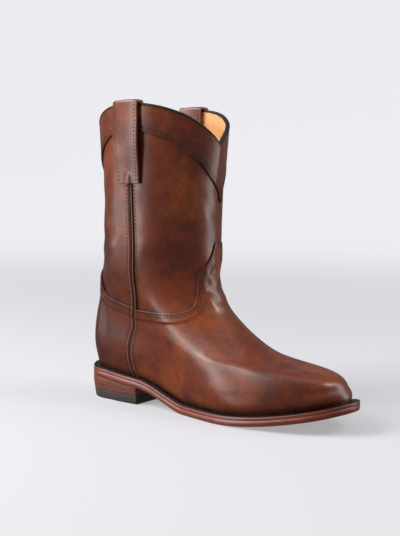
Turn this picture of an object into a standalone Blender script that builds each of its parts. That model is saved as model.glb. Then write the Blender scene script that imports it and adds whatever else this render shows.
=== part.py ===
# Roper boot for a right foot: a pull-on leather boot with a round toe, a low stacked heel, a welted
# leather sole and a wide, scalloped shaft with two pull straps.
# Metres, +Z up, +X towards the toe, +Y towards the inner (medial) side of the foot.
# The origin is on the floor under the centre of the heel.

import math
from collections import namedtuple
from functools import lru_cache

import bmesh
import bpy
from mathutils import Vector

# Sole and heel
LAST_LENGTH = 0.291
WELT_MARGIN = 0.0058
WELT_LEDGE = 0.0026
WELT_THICKNESS = 0.0030
OUTSOLE_THICKNESS = 0.0056
HEEL_LENGTH = 0.0765
HEEL_BREAST_HEIGHT = 0.0175
HEEL_BACK_RISE = 0.0075
HEEL_TAPER = 0.0022
TOP_LIFT_THICKNESS = 0.0090
TOE_SPRING = 0.0200
TREAD_BACK = 0.1400
TREAD_FRONT = 0.1810
INSOLE_THICKNESS = 0.0055
INSOLE_MARGIN = 0.0040

# Last and shaft
HEEL_HALF_WIDTH = 0.0330
BALL_HALF_WIDTH = 0.0490
INSTEP_HEIGHT = 0.1000
SHAFT_DEPTH = 0.1360
SHAFT_HALF_WIDTH = 0.0540
COLLAR_HEIGHT = 0.2298
COLLAR_SCALLOP = 0.0390

# Leather
UPPER_WALL = 0.0022
OVERLAY = 0.0013
GAP = 0.0003

# Side seam, straps and collar edge
PIPING_WIDTH = 0.0030
PIPING_HEIGHT = 0.0016
SEAM_CHANNEL = 0.0052
STRAP_WIDTH = 0.0290
STRAP_THICKNESS = 0.0022
STRAP_DROP = 0.0760
STRAP_INNER_DROP = 0.0500
STRAP_BOW = 0.0066
STRAP_CLEARANCE = 0.0026
BINDING_HEIGHT = 0.0016

# Mesh density
COLUMNS = 44
RINGS = 20

SOLE_BACK = -HEEL_LENGTH / 2
LAST_BACK = SOLE_BACK + WELT_MARGIN
LAST_FRONT = LAST_BACK + LAST_LENGTH
HEEL_BREAST = SOLE_BACK + HEEL_LENGTH
TOE_SPRING_POWER = 1.8
SCALLOP_POWER = 0.80

# Heights above the outsole's underside, from the outsole's top to the level the upper stands on.
WELT_BASE = OUTSOLE_THICKNESS + GAP
SOLE_BUILD = WELT_BASE + WELT_THICKNESS + GAP

# The form runs through the middle of what an overlay adds, so the upper's outer face lies inside it.
UPPER_FACE = -(GAP + OVERLAY) / 2
OVERLAY_BACK = UPPER_FACE + GAP
OVERLAY_FACE = OVERLAY_BACK + OVERLAY
LINING_FACE = UPPER_FACE - UPPER_WALL

# The form is a stack of sections, each a closed curve round the boot. A section runs from its back
# end to its front end, and its half-widths are taken at these shares of the way along it.
WIDTH_STATIONS = (0.02, 0.12, 0.38, 0.66, 0.88, 0.98)

# back, front: the section's ends, as shares of the last's length (for the shaft, front is a share
# of the shaft's depth ahead of the back end). rise_back, rise_front: heights above the heel seat,
# as shares of the instep's height (for the shaft, of the way from the instep to the collar).
# seam: where the side seam crosses. cup to tip: half-widths at the stations, as shares of the
# heel's half-width (cup, heel) and the ball's (waist to tip), or of the shaft's for all six.
Section = namedtuple(
    "Section", "back rise_back front rise_front seam cup heel waist ball toe tip"
)
FOOT_SECTIONS = (
    Section(0.000, 0.000, 1.000, 0.000, 0.224, 0.530, 0.873, 0.571, 0.894, 0.712, 0.345),
    Section(-0.008, 0.090, 0.987, 0.106, 0.223, 0.533, 0.915, 0.608, 0.955, 0.792, 0.408),
    Section(-0.014, 0.215, 0.980, 0.162, 0.223, 0.573, 0.973, 0.651, 0.978, 0.800, 0.439),
    Section(-0.014, 0.344, 0.955, 0.238, 0.230, 0.585, 0.988, 0.696, 0.953, 0.745, 0.455),
    Section(-0.009, 0.475, 0.892, 0.278, 0.255, 0.579, 0.979, 0.727, 0.908, 0.665, 0.437),
    Section(0.001, 0.603, 0.798, 0.275, 0.290, 0.573, 0.973, 0.753, 0.857, 0.592, 0.367),
    Section(0.014, 0.730, 0.703, 0.345, 0.322, 0.570, 0.982, 0.782, 0.806, 0.551, 0.312),
    Section(0.026, 0.854, 0.614, 0.503, 0.374, 0.576, 1.009, 0.831, 0.784, 0.500, 0.255),
    Section(0.035, 0.994, 0.534, 0.700, 0.432, 0.579, 1.076, 0.906, 0.804, 0.492, 0.214),
)
SHAFT_SECTIONS = (
    Section(0.042, 0.119, 0.950, -0.025, 0.470, 0.320, 0.694, 0.887, 0.802, 0.489, 0.220),
    Section(0.047, 0.273, 0.926, 0.214, 0.489, 0.330, 0.715, 0.930, 0.867, 0.565, 0.267),
    Section(0.044, 0.643, 0.929, 0.648, 0.491, 0.324, 0.700, 0.972, 0.939, 0.648, 0.302),
    Section(0.025, 1.000, 1.008, 0.998, 0.475, 0.330, 0.704, 0.987, 0.963, 0.641, 0.296),
)
SECTIONS = len(FOOT_SECTIONS) + len(SHAFT_SECTIONS)

# The bow of the foot's centre line in plan, inward at the toe: distances at equal steps along the
# last, as shares of the ball's half-width.
CENTRE_LINE = (0.000, -0.020, -0.055, -0.080, -0.030, 0.045, 0.075)

# Edges of the overlays. share: the way from the outer side seam to the inner one, round the front
# for the vamp and the front collar, and round the back for the others. section: the height, counted
# in sections of the form. The back ones are mirrored beyond the half.
Edge = namedtuple("Edge", "share section")
VAMP_TOP = (
    Edge(0.000, 6.64), Edge(0.120, 7.16), Edge(0.190, 7.50), Edge(0.230, 7.74), Edge(0.271, 8.04),
    Edge(0.305, 8.40), Edge(0.341, 8.90), Edge(0.362, 9.32), Edge(0.414, 9.56), Edge(0.459, 9.80),
    Edge(0.484, 9.96), Edge(0.508, 10.16), Edge(0.610, 10.16), Edge(0.634, 9.96), Edge(0.657, 9.80),
    Edge(0.695, 9.56), Edge(0.735, 9.32), Edge(0.748, 8.90), Edge(0.768, 8.40), Edge(0.792, 8.04),
    Edge(0.820, 7.74), Edge(0.850, 7.50), Edge(0.900, 7.16), Edge(1.000, 6.64),
)
COUNTER_TOP = (
    Edge(0.000, 6.72), Edge(0.130, 6.68), Edge(0.200, 6.74), Edge(0.245, 6.98), Edge(0.280, 7.50),
    Edge(0.312, 7.94), Edge(0.365, 8.30), Edge(0.420, 8.80), Edge(0.452, 9.50), Edge(0.466, 9.78),
    Edge(0.500, 9.80),
)
FRONT_ARCH = (
    Edge(0.000, 11.70), Edge(0.080, 11.68), Edge(0.200, 11.63), Edge(0.314, 11.50),
    Edge(0.390, 11.42), Edge(0.440, 11.28), Edge(0.498, 11.16), Edge(0.540, 10.98),
    Edge(0.566, 10.74), Edge(0.592, 10.98), Edge(0.634, 11.16), Edge(0.692, 11.28),
    Edge(0.742, 11.42), Edge(0.810, 11.50), Edge(0.900, 11.63), Edge(1.000, 11.70),
)
BACK_ARCH = (
    Edge(0.000, 11.70), Edge(0.120, 11.66), Edge(0.250, 11.52), Edge(0.350, 11.34),
    Edge(0.440, 11.10), Edge(0.480, 10.94), Edge(0.500, 10.80),
)

# Materials: colour and roughness.
LEATHER = ("boot leather", (0.105, 0.030, 0.014), 0.32)
OVERLAY_LEATHER = ("boot leather panels", (0.115, 0.033, 0.015), 0.32)
STRAP_LEATHER = ("strap leather", (0.110, 0.034, 0.018), 0.38)
EDGE_LEATHER = ("black edge leather", (0.012, 0.010, 0.009), 0.45)
WELT_LEATHER = ("dark welt leather", (0.030, 0.014, 0.010), 0.50)
SOLE_LEATHER = ("sole leather", (0.160, 0.045, 0.025), 0.42)
HEEL_LEATHER = ("stacked heel leather", (0.145, 0.055, 0.034), 0.45)
INSOLE_LEATHER = ("insole leather", (0.560, 0.330, 0.150), 0.65)
LIFT_RUBBER = ("top lift rubber", (0.060, 0.046, 0.038), 0.70)


def smoothstep(share):
    share = min(max(share, 0.0), 1.0)
    return share * share * (3 - 2 * share)


def through(values, place):
    """A smooth curve through values at equal steps, read at place from 0 to len(values) - 1."""
    last = len(values) - 1
    place = min(max(place, 0.0), float(last))
    index = min(int(place), last - 1)
    share = place - index
    before = values[index - 1] if index else 2 * values[0] - values[1]
    start, end = values[index], values[index + 1]
    after = values[index + 2] if index + 2 <= last else 2 * values[last] - values[last - 1]
    cubic = 3 * (start - end) + after - before
    square = 2 * before - 5 * start + 4 * end - after
    return start + 0.5 * share * (end - before + share * (square + share * cubic))


def between_stations(values, share):
    """A smooth curve through values at WIDTH_STATIONS, level beyond the first and the last."""
    stations = WIDTH_STATIONS
    if share <= stations[0]:
        return values[0]
    if share >= stations[-1]:
        return values[-1]
    index = next(i for i in range(len(stations) - 1) if share <= stations[i + 1])

    def slope(i):
        if i in (0, len(stations) - 1):
            return 0.0
        return (values[i + 1] - values[i - 1]) / (stations[i + 1] - stations[i - 1])

    run = stations[index + 1] - stations[index]
    t = (share - stations[index]) / run
    rise = values[index + 1] - values[index]
    start, end = slope(index) * run, slope(index + 1) * run
    return values[index] + t * (start + t * (3 * rise - 2 * start - end + t * (start + end - 2 * rise)))


def edge_level(edge, share):
    """The level of an overlay's edge at share, on straight runs between the rows of its table."""
    if edge[-1].share < 1.0:
        share = min(share, 1.0 - share)
    for start, end in zip(edge, edge[1:]):
        if share <= end.share:
            break
    way = min(1.0, (share - start.share) / (end.share - start.share))
    return (start.section + (end.section - start.section) * way) / (SECTIONS - 1)


def sole_under(x):
    """Height of the outsole's underside: heel seat, waist, flat tread and toe spring."""
    seat_slope = HEEL_BACK_RISE / HEEL_LENGTH
    if x <= HEEL_BREAST:
        return HEEL_BREAST_HEIGHT + seat_slope * (HEEL_BREAST - x)
    tread_back, tread_front = SOLE_BACK + TREAD_BACK, SOLE_BACK + TREAD_FRONT
    if x < tread_back:
        run = tread_back - HEEL_BREAST
        t = (tread_back - x) / run
        return HEEL_BREAST_HEIGHT * t * t * (3 - 2 * t) + seat_slope * run * t * t * (t - 1)
    if x < tread_front:
        return 0.0
    run = LAST_FRONT + WELT_MARGIN - tread_front
    return TOE_SPRING * ((x - tread_front) / run) ** TOE_SPRING_POWER


def sole_top(x):
    """Height on which the upper stands, just over the welt."""
    return sole_under(x) + SOLE_BUILD


SEAT_HEIGHT = sole_top(0.0)


def real_section(row):
    """Section number row with its shares turned into metres."""
    if row < len(FOOT_SECTIONS):
        s = FOOT_SECTIONS[row]
        heel, ball = HEEL_HALF_WIDTH, BALL_HALF_WIDTH
        return Section(
            LAST_BACK + s.back * LAST_LENGTH,
            s.rise_back * INSTEP_HEIGHT,
            LAST_BACK + s.front * LAST_LENGTH,
            s.rise_front * INSTEP_HEIGHT,
            s.seam,
            s.cup * heel,
            s.heel * heel,
            s.waist * ball,
            s.ball * ball,
            s.toe * ball,
            s.tip * ball,
        )
    s = SHAFT_SECTIONS[row - len(FOOT_SECTIONS)]
    back = LAST_BACK + s.back * LAST_LENGTH
    climb = COLLAR_HEIGHT - INSTEP_HEIGHT
    return Section(
        back,
        INSTEP_HEIGHT + s.rise_back * climb,
        back + s.front * SHAFT_DEPTH,
        INSTEP_HEIGHT + s.rise_front * climb,
        s.seam,
        *(width * SHAFT_HALF_WIDTH for width in s[5:]),
    )


REAL_SECTIONS = tuple(real_section(row) for row in range(SECTIONS))


@lru_cache(maxsize=4096)
def section_at(level):
    """The form's section at level, from 0 at the feather line to 1 at the collar."""
    place = level * (SECTIONS - 1)
    return Section(*(through(column, place) for column in zip(*REAL_SECTIONS)))


def form_point(turn, level):
    """A point of the boot's outer form. turn runs once round, from the back by the outer side."""
    s = section_at(level)
    angle = 2 * math.pi * turn
    share = (1 - math.cos(angle)) / 2
    x = s.back + (s.front - s.back) * share
    fullness = [
        width / (2 * math.sqrt(station * (1 - station)))
        for width, station in zip(s[5:], WIDTH_STATIONS)
    ]
    foot = 1 - smoothstep(s.rise_back / INSTEP_HEIGHT * 1.15)
    along_last = (x - LAST_BACK) / LAST_LENGTH * (len(CENTRE_LINE) - 1)
    bow = foot * BALL_HALF_WIDTH * through(CENTRE_LINE, along_last)
    y = bow - between_stations(fullness, share) * math.sin(angle)
    base = foot * sole_top(x) + (1 - foot) * SEAT_HEIGHT
    climb = max(0.0, (s.rise_back - INSTEP_HEIGHT) / (COLLAR_HEIGHT - INSTEP_HEIGHT))
    lift = COLLAR_SCALLOP * climb ** 3 * abs(math.sin(angle)) ** SCALLOP_POWER
    return Vector((x, y, base + s.rise_back + (s.rise_front - s.rise_back) * share + lift))


def form(turn, level, out=0.0):
    """The point of the form moved out by a distance along its normal, level at the feather line."""
    point = form_point(turn, level)
    step = 0.002
    around = form_point(turn + step, level) - form_point(turn - step, level)
    up = form_point(turn, min(level + step, 1)) - form_point(turn, max(level - step, 0))
    normal = around.cross(up)
    normal.z *= min(1.0, level * (SECTIONS - 1))
    return point + out * normal.normalized()


def column_turn(share):
    """Turn of a column at share of the way round, closer together along the sides than at the ends."""
    return share + 0.2 * math.sin(4 * math.pi * share) / (4 * math.pi)


def seam_turn(level):
    """How far round the outer side seam lies. The inner one lies at 1 minus this."""
    return math.acos(1 - 2 * section_at(level).seam) / (2 * math.pi)


def beside_seam(level, distance):
    """The turn at a distance ahead of the outer side seam, measured round the section."""
    turn, step = seam_turn(level), 0.002
    run = (form_point(turn + step, level) - form_point(turn - step, level)).length
    return turn + distance * 2 * step / run


def level_below_collar(drop):
    """The level that lies a drop below the collar's top at the side seam."""
    top = form_point(seam_turn(1.0), 1.0).z
    low, high = 0.5, 1.0
    for _ in range(30):
        middle = (low + high) / 2
        if top - form_point(seam_turn(middle), middle).z > drop:
            low = middle
        else:
            high = middle
    return high


def add_object(name, mesh, material):
    """Make a mesh an object of its own, with its own material."""
    bmesh.ops.remove_doubles(mesh, verts=mesh.verts, dist=0.000002)
    bmesh.ops.recalc_face_normals(mesh, faces=mesh.faces)
    bmesh.ops.triangulate(mesh, faces=mesh.faces, quad_method="FIXED")
    data = bpy.data.meshes.new(name)
    mesh.to_mesh(data)
    mesh.free()
    piece = bpy.data.objects.new(name, data)
    bpy.context.scene.collection.objects.link(piece)
    if material:
        title, colour, roughness = material
        surface = bpy.data.materials.get(title) or bpy.data.materials.new(title)
        surface.use_nodes = True
        shader = surface.node_tree.nodes["Principled BSDF"]
        shader.inputs["Base Color"].default_value = (*colour, 1.0)
        shader.inputs["Roughness"].default_value = roughness
        data.materials.append(surface)
    return piece


def add_solid(name, place, columns, rows, material=None, ring=False):
    """A closed solid from place(along, across, side), each running from 0 to 1. A ring has no ends."""
    mesh = bmesh.new()
    count = columns if ring else columns + 1
    sides = [
        [
            [mesh.verts.new(place(c / columns, r / rows, side)) for r in range(rows + 1)]
            for c in range(count)
        ]
        for side in (0, 1)
    ]
    inner, outer = sides
    for c in range(columns):
        d = (c + 1) % count
        for r in range(rows):
            for face in sides:
                mesh.faces.new((face[c][r], face[d][r], face[d][r + 1], face[c][r + 1]))
        for r in (0, rows):
            mesh.faces.new((inner[c][r], inner[d][r], outer[d][r], outer[c][r]))
    if not ring:
        for c in (0, columns):
            for r in range(rows):
                mesh.faces.new((inner[c][r], inner[c][r + 1], outer[c][r + 1], outer[c][r]))
    return add_object(name, mesh, material)


def add_sole_slab(name, margin, bottom, top, material):
    """A layer within the feather line moved out by margin, between two heights over the outsole's base."""

    def place(along, across, side):
        turn = column_turn(along / 2)
        point = form(turn, 0, margin).lerp(form(1 - turn, 0, margin), across)
        point.z = sole_under(point.x) + (top if side else bottom)
        return point

    return add_solid(name, place, COLUMNS // 2, 2, material)


def add_welt():
    def place(along, across, side):
        point = form(column_turn(along), 0, -WELT_LEDGE + (WELT_LEDGE + WELT_MARGIN) * across)
        point.z = sole_under(point.x) + WELT_BASE + WELT_THICKNESS * side
        return point

    return add_solid("welt", place, COLUMNS, 1, WELT_LEATHER, ring=True)


def breast_share():
    """How far along the outsole's outline the heel's breast cuts it."""
    low, high = 0.0, 0.5
    for _ in range(30):
        middle = (low + high) / 2
        if form(column_turn(middle / 2), 0, WELT_MARGIN).x < HEEL_BREAST:
            low = middle
        else:
            high = middle
    return low


def add_heel_layer(name, bottom, top, material):
    """A layer of the heel between two heights, drawn in towards the floor. None: up to the outsole."""
    to_breast = breast_share()
    full = HEEL_BREAST_HEIGHT

    def place(along, across, side):
        turn = column_turn(along * to_breast / 2)
        point = form(turn, 0, WELT_MARGIN).lerp(form(1 - turn, 0, WELT_MARGIN), across)
        height = bottom if side == 0 else top
        if height is None:
            height = sole_under(point.x) - 2 * GAP
        inward = HEEL_TAPER * max(0.0, 1 - height / full)
        point.x += inward * (1 - (point.x - SOLE_BACK) / HEEL_LENGTH)
        point.y *= 1 - inward / HEEL_HALF_WIDTH
        point.z = height
        return point

    return add_solid(name, place, 12, 2, material)


def add_upper():
    def place(along, across, side):
        return form(column_turn(along), across, UPPER_FACE if side else LINING_FACE)

    return add_solid("upper", place, COLUMNS, RINGS, LEATHER, ring=True)


def add_overlay(name, reach, low_edge, high_edge, columns):
    """A panel on the upper: a shell of the form, kept within a thicker patch of the same form."""

    def shell(along, across, side):
        return form(column_turn(along), across, OVERLAY_FACE if side else OVERLAY_BACK)

    def patch(along, across, side):
        low = -0.02 if low_edge is None else edge_level(low_edge, along)
        high = 1.02 if high_edge is None else edge_level(high_edge, along)
        level = low + (high - low) * across
        on_form = min(max(level, 0.0), 1.0)
        start, end = reach(on_form)
        point = form(start + (end - start) * along, on_form, 0.0060 if side else -0.0040)
        point.z += (level - on_form) * COLLAR_HEIGHT
        return point

    panel = add_solid(name, shell, COLUMNS, RINGS, OVERLAY_LEATHER, ring=True)
    cutter = add_solid(name + " outline", patch, columns, 8)
    cutter.hide_render = True
    cutter.display_type = "WIRE"
    keep = panel.modifiers.new("outline", "BOOLEAN")
    keep.operation = "INTERSECT"
    keep.solver = "EXACT"
    keep.object = cutter
    return panel


def round_front(level):
    """Turns from the outer side seam to the inner one by the front, clear of the piping."""
    turn = beside_seam(level, SEAM_CHANNEL / 2)
    return turn, 1 - turn


def round_back(level):
    """Turns from the outer side seam to the inner one by the back, clear of the piping."""
    turn = beside_seam(level, -SEAM_CHANNEL / 2)
    return turn, -turn


def add_binding():
    def place(along, across, side):
        point = form(column_turn(along), 1, LINING_FACE + (OVERLAY_FACE - LINING_FACE) * across)
        point.z += GAP + BINDING_HEIGHT * side
        return point

    return add_solid("collar_binding", place, COLUMNS, 1, EDGE_LEATHER, ring=True)


def add_piping(name, inner_side):
    top = level_below_collar(STRAP_DROP + 0.0006)

    def place(along, across, side):
        level = 0.003 + (top - 0.003) * along
        turn = beside_seam(level, PIPING_WIDTH * (across - 0.5))
        crown = 1 - 1.2 * (2 * across - 1) ** 2 / 2
        out = UPPER_FACE + 0.0005 + side * PIPING_HEIGHT * crown
        return form(1 - turn if inner_side else turn, level, out)

    return add_solid(name, place, 36, 2, EDGE_LEATHER)


def add_strap(name, inner_side):
    """A pull strap: an outer leg, a fold over the collar and an inner leg, all on the side seam."""
    outer_bottom = level_below_collar(STRAP_DROP)
    inner_bottom = level_below_collar(STRAP_INNER_DROP)
    middle = (OVERLAY_FACE + LINING_FACE) / 2
    half = (OVERLAY_FACE - LINING_FACE) / 2 + STRAP_CLEARANCE
    rise = BINDING_HEIGHT + 3 * GAP
    outer_end, inner_start = 0.46, 0.62

    def path(along, side):
        """Level, distance out from the form and height over the collar."""
        thick = side * STRAP_THICKNESS
        if along <= outer_end:
            up = along / outer_end
            free = max(0.0, (up - 0.2) / 0.8)
            bow = STRAP_BOW * max(0.0, math.sin(math.pi * free)) ** 0.8
            slack = (STRAP_CLEARANCE - GAP) * (1 - up)
            return outer_bottom + (1 - outer_bottom) * up, middle + half - slack + bow + thick, 0.0
        if along < inner_start:
            angle = math.pi * (along - outer_end) / (inner_start - outer_end)
            across_fold = math.copysign(math.sqrt(abs(math.cos(angle))), math.cos(angle))
            over = (rise + thick) * math.sqrt(abs(math.sin(angle)))
            return 1.0, middle + (half + thick) * across_fold, over
        down = (along - inner_start) / (1 - inner_start)
        slack = (STRAP_CLEARANCE - GAP) * down
        return 1 - (1 - inner_bottom) * down, middle - half + slack - thick, 0.0

    def place(along, across, side):
        level, out, over = path(along, side)
        turn = beside_seam(level, STRAP_WIDTH * (across - 0.5))
        point = form(1 - turn if inner_side else turn, level, out)
        point.z += over
        return point

    return add_solid(name, place, 37, 3, STRAP_LEATHER)


def main():
    for leftover in list(bpy.data.objects):
        bpy.data.objects.remove(leftover)
    add_sole_slab("outsole", WELT_MARGIN, 0.0, OUTSOLE_THICKNESS, SOLE_LEATHER)
    add_welt()
    add_sole_slab("insole", -INSOLE_MARGIN, WELT_BASE, WELT_BASE + INSOLE_THICKNESS, INSOLE_LEATHER)
    add_heel_layer("heel_stack", TOP_LIFT_THICKNESS + GAP, None, HEEL_LEATHER)
    add_heel_layer("top_lift", 0.0, TOP_LIFT_THICKNESS, LIFT_RUBBER)
    add_upper()
    add_overlay("vamp", round_front, None, VAMP_TOP, 36)
    add_overlay("counter", round_back, None, COUNTER_TOP, 28)
    add_overlay("collar_front", round_front, FRONT_ARCH, None, 32)
    add_overlay("collar_back", round_back, BACK_ARCH, None, 28)
    add_binding()
    add_piping("piping_lateral", False)
    add_piping("piping_medial", True)
    add_strap("pull_strap_lateral", False)
    add_strap("pull_strap_medial", True)


if __name__ == "__main__":
    main()
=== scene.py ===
# %% [markdown]
# # A roper boot, dressed for its portrait
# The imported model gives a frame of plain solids. This notebook dresses them: burnished leather, piping,
# stitches, a welted sole and a stacked heel. Every length is in metres. Every piece is placed by the form
# that the solids were cut from, faired over the vamp, so nothing has to be fitted afterwards.

# %% Load the frame
import math
from collections import namedtuple

import bmesh
import bpy
import numpy as np
from mathutils import Matrix, Vector


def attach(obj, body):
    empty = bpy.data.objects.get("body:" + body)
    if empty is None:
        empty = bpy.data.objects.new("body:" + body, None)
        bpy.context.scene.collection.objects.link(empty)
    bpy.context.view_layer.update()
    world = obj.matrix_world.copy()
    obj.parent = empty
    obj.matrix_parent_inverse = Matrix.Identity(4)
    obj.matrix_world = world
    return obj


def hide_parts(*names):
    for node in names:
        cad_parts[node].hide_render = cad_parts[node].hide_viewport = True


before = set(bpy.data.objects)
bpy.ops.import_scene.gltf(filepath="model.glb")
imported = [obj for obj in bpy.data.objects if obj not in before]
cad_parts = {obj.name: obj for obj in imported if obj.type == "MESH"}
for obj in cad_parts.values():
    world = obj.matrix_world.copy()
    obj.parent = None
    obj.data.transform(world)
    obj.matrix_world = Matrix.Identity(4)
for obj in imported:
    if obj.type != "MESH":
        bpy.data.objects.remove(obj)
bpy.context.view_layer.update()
print("nodes:", sorted(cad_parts))

# %% [markdown]
# ## The sizes of the boot
# A bootmaker starts from a last, a solid foot of wood, and writes down its length, its widths and its
# heights. The same named sizes come first here, because leather, stitches and sole all follow them.

# %% Sizes of the last, the sole and the leather
LAST_LENGTH = 0.291
WELT_MARGIN = 0.0058
WELT_LEDGE = 0.0026
WELT_THICKNESS = 0.0030
OUTSOLE_THICKNESS = 0.0056
HEEL_LENGTH = 0.0765
HEEL_BREAST_HEIGHT = 0.0175
HEEL_BACK_RISE = 0.0075
HEEL_TAPER = 0.0022
TOP_LIFT_THICKNESS = 0.0090
TOE_SPRING = 0.0200
TREAD_BACK = 0.1400
TREAD_FRONT = 0.1810
INSOLE_THICKNESS = 0.0055
INSOLE_MARGIN = 0.0040
HEEL_HALF_WIDTH = 0.0330
BALL_HALF_WIDTH = 0.0490
INSTEP_HEIGHT = 0.1000
SHAFT_DEPTH = 0.1360
SHAFT_HALF_WIDTH = 0.0540
COLLAR_HEIGHT = 0.2298
COLLAR_SCALLOP = 0.0390
UPPER_WALL = 0.0022
OVERLAY = 0.0013
GAP = 0.0003
PIPING_WIDTH = 0.0030
PIPING_HEIGHT = 0.0016
SEAM_CHANNEL = 0.0052
STRAP_WIDTH = 0.0290
STRAP_THICKNESS = 0.0022
STRAP_DROP = 0.0760
STRAP_INNER_DROP = 0.0500
STRAP_BOW = 0.0066
STRAP_CLEARANCE = 0.0026
BINDING_HEIGHT = 0.0016
TOE_SPRING_POWER = 1.8
SCALLOP_POWER = 0.80
FOOT_FADE = 1.15

SOLE_BACK = -HEEL_LENGTH / 2
LAST_BACK = SOLE_BACK + WELT_MARGIN
LAST_FRONT = LAST_BACK + LAST_LENGTH
HEEL_BREAST = SOLE_BACK + HEEL_LENGTH
WELT_BASE = OUTSOLE_THICKNESS + GAP
SOLE_BUILD = WELT_BASE + WELT_THICKNESS + GAP
UPPER_FACE = -(GAP + OVERLAY) / 2
OVERLAY_BACK = UPPER_FACE + GAP
OVERLAY_FACE = OVERLAY_BACK + OVERLAY
LINING_FACE = UPPER_FACE - UPPER_WALL

# %% [markdown]
# ## The form as a stack of sections
# The upper is a stack of closed curves, from the feather line, where it meets the sole, to the collar.
# Each row below is one curve: where it starts and ends, how high both ends lie, where the side seam
# crosses, and six half-widths. The first nine rows are shares of the last's sizes, the others of the
# shaft's.

# %% Tables of the form
WIDTH_STATIONS = np.array((0.02, 0.12, 0.38, 0.66, 0.88, 0.98))
FOOT_SECTIONS = (
    (0.000, 0.000, 1.000, 0.000, 0.224, 0.530, 0.873, 0.571, 0.894, 0.712, 0.345),
    (-0.008, 0.090, 0.987, 0.106, 0.223, 0.533, 0.915, 0.608, 0.955, 0.792, 0.408),
    (-0.014, 0.215, 0.980, 0.162, 0.223, 0.573, 0.973, 0.651, 0.978, 0.800, 0.439),
    (-0.014, 0.344, 0.955, 0.238, 0.230, 0.585, 0.988, 0.696, 0.953, 0.745, 0.455),
    (-0.009, 0.475, 0.892, 0.278, 0.255, 0.579, 0.979, 0.727, 0.908, 0.665, 0.437),
    (0.001, 0.603, 0.798, 0.275, 0.290, 0.573, 0.973, 0.753, 0.857, 0.592, 0.367),
    (0.014, 0.730, 0.703, 0.345, 0.322, 0.570, 0.982, 0.782, 0.806, 0.551, 0.312),
    (0.026, 0.854, 0.614, 0.503, 0.374, 0.576, 1.009, 0.831, 0.784, 0.500, 0.255),
    (0.035, 0.994, 0.534, 0.700, 0.432, 0.579, 1.076, 0.906, 0.804, 0.492, 0.214),
)
SHAFT_SECTIONS = (
    (0.042, 0.119, 0.950, -0.025, 0.470, 0.320, 0.694, 0.887, 0.802, 0.489, 0.220),
    (0.047, 0.273, 0.926, 0.214, 0.489, 0.330, 0.715, 0.930, 0.867, 0.565, 0.267),
    (0.044, 0.643, 0.929, 0.648, 0.491, 0.324, 0.700, 0.972, 0.939, 0.648, 0.302),
    (0.025, 1.000, 1.008, 0.998, 0.475, 0.330, 0.704, 0.987, 0.963, 0.641, 0.296),
)
SECTIONS = len(FOOT_SECTIONS) + len(SHAFT_SECTIONS)
CENTRE_LINE = np.array((0.000, -0.020, -0.055, -0.080, -0.030, 0.045, 0.075))


def real_sections():
    """All the sections in metres, with the foot's and the shaft's shares worked out."""
    climb = COLLAR_HEIGHT - INSTEP_HEIGHT
    rows = []
    for back, rise_back, front, rise_front, seam, *widths in FOOT_SECTIONS:
        scale = [HEEL_HALF_WIDTH] * 2 + [BALL_HALF_WIDTH] * 4
        rows.append([
            LAST_BACK + back * LAST_LENGTH, rise_back * INSTEP_HEIGHT,
            LAST_BACK + front * LAST_LENGTH, rise_front * INSTEP_HEIGHT, seam,
            *(width * size for width, size in zip(widths, scale)),
        ])
    for back, rise_back, front, rise_front, seam, *widths in SHAFT_SECTIONS:
        start = LAST_BACK + back * LAST_LENGTH
        rows.append([
            start, INSTEP_HEIGHT + rise_back * climb,
            start + front * SHAFT_DEPTH, INSTEP_HEIGHT + rise_front * climb, seam,
            *(width * SHAFT_HALF_WIDTH for width in widths),
        ])
    return np.array(rows)


SECTION_TABLE = real_sections()
print("sections:", SECTION_TABLE.shape)

# %% [markdown]
# ## From sections to a smooth surface
# Any point of the boot's skin has an address: a **turn** round the boot, from the back centre by the
# outer side, and a **level** from 0 at the sole to 1 at the collar. NumPy works on thousands of
# addresses at once, which is why every helper takes arrays.


# %% The form's function
def smoothstep(share):
    share = np.clip(share, 0.0, 1.0)
    return share * share * (3 - 2 * share)


def through(values, place):
    """A smooth curve through values at equal steps, read at places from 0 to len(values) - 1."""
    last = len(values) - 1
    place = np.clip(place, 0, last)
    index = np.minimum(place.astype(int), last - 1)
    share = place - index
    if values.ndim > 1:
        share = share[:, None]
    padded = np.concatenate(
        (2 * values[:1] - values[1:2], values, 2 * values[-1:] - values[-2:-1])
    )
    before, start, end, after = (padded[index + k] for k in range(4))
    cubic = 3 * (start - end) + after - before
    square = 2 * before - 5 * start + 4 * end - after
    return start + 0.5 * share * (end - before + share * (square + share * cubic))


def between_stations(values, share):
    """A smooth curve through each row of values at WIDTH_STATIONS, level beyond both ends."""
    stations = WIDTH_STATIONS
    slopes = np.zeros_like(values)
    slopes[:, 1:-1] = (values[:, 2:] - values[:, :-2]) / (stations[2:] - stations[:-2])
    held = np.clip(share, stations[0], stations[-1])
    index = np.clip(np.searchsorted(stations, held) - 1, 0, len(stations) - 2)
    row = np.arange(len(values))
    run = stations[index + 1] - stations[index]
    t = (held - stations[index]) / run
    low, rise = values[row, index], values[row, index + 1] - values[row, index]
    start, end = slopes[row, index] * run, slopes[row, index + 1] * run
    return low + t * (start + t * (3 * rise - 2 * start - end + t * (start + end - 2 * rise)))


def sole_under(x):
    """Height of the outsole's underside: heel seat, waist, flat tread and toe spring."""
    slope = HEEL_BACK_RISE / HEEL_LENGTH
    seat = HEEL_BREAST_HEIGHT + slope * (HEEL_BREAST - x)
    back, front = SOLE_BACK + TREAD_BACK, SOLE_BACK + TREAD_FRONT
    run = back - HEEL_BREAST
    t = np.clip((back - x) / run, 0, 1)
    waist = HEEL_BREAST_HEIGHT * t * t * (3 - 2 * t) + slope * run * t * t * (t - 1)
    spring_run = LAST_FRONT + WELT_MARGIN - front
    spring = TOE_SPRING * np.maximum((x - front) / spring_run, 0) ** TOE_SPRING_POWER
    return np.where(x <= HEEL_BREAST, seat, np.where(x < back, waist, spring))


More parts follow.
